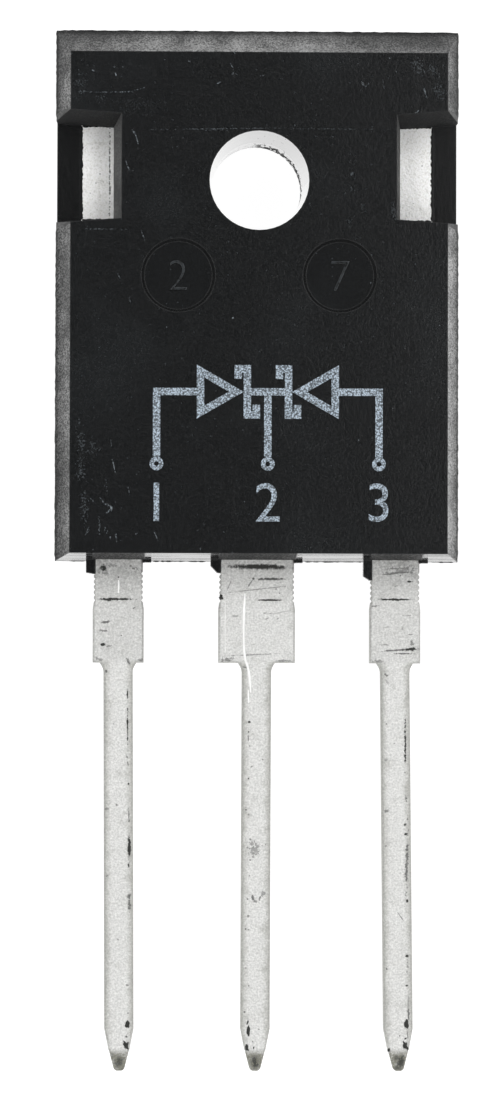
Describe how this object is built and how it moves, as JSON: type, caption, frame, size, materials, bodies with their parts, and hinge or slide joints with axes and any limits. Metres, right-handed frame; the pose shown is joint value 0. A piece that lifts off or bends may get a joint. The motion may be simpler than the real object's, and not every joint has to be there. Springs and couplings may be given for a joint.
{
  "type": "schottky diode",
  "caption": "Schottky rectifier diode in a flat moulded power package with a screw hole, a bare heat-sink back and straight tapered leads.",
  "frame": {"origin": "axis of the screw hole, at the heat-sink face", "axes": "+X across the leads, +Y from the lead tips towards the screw-hole end, +Z out of the marked front face; it lies on its heat sink"},
  "size_m": [0.016, 0.041, 0.005],
  "materials": {
    "mould_compound": "fine-grained moulded epoxy, near black",
    "tinned_copper": "matte tin plating on copper, with rolling marks",
    "silicon_die": "polished semiconductor die",
    "solder": "dull soft solder",
    "bond_aluminium": "drawn wire"
  },
  "bodies": {
    "root": {"moulded_body": "mould_compound", "heat_sink_tab": "tinned_copper", "anode_lead_1": "tinned_copper", "anode_lead_2": "tinned_copper", "diode_die_1": "silicon_die", "diode_die_2": "silicon_die", "die_solder_1": "solder", "die_solder_2": "solder", "bond_wire_1": "bond_aluminium", "bond_wire_2": "bond_aluminium", "bond_wire_3": "bond_aluminium", "bond_wire_4": "bond_aluminium"}
  },
  "joints": []
}
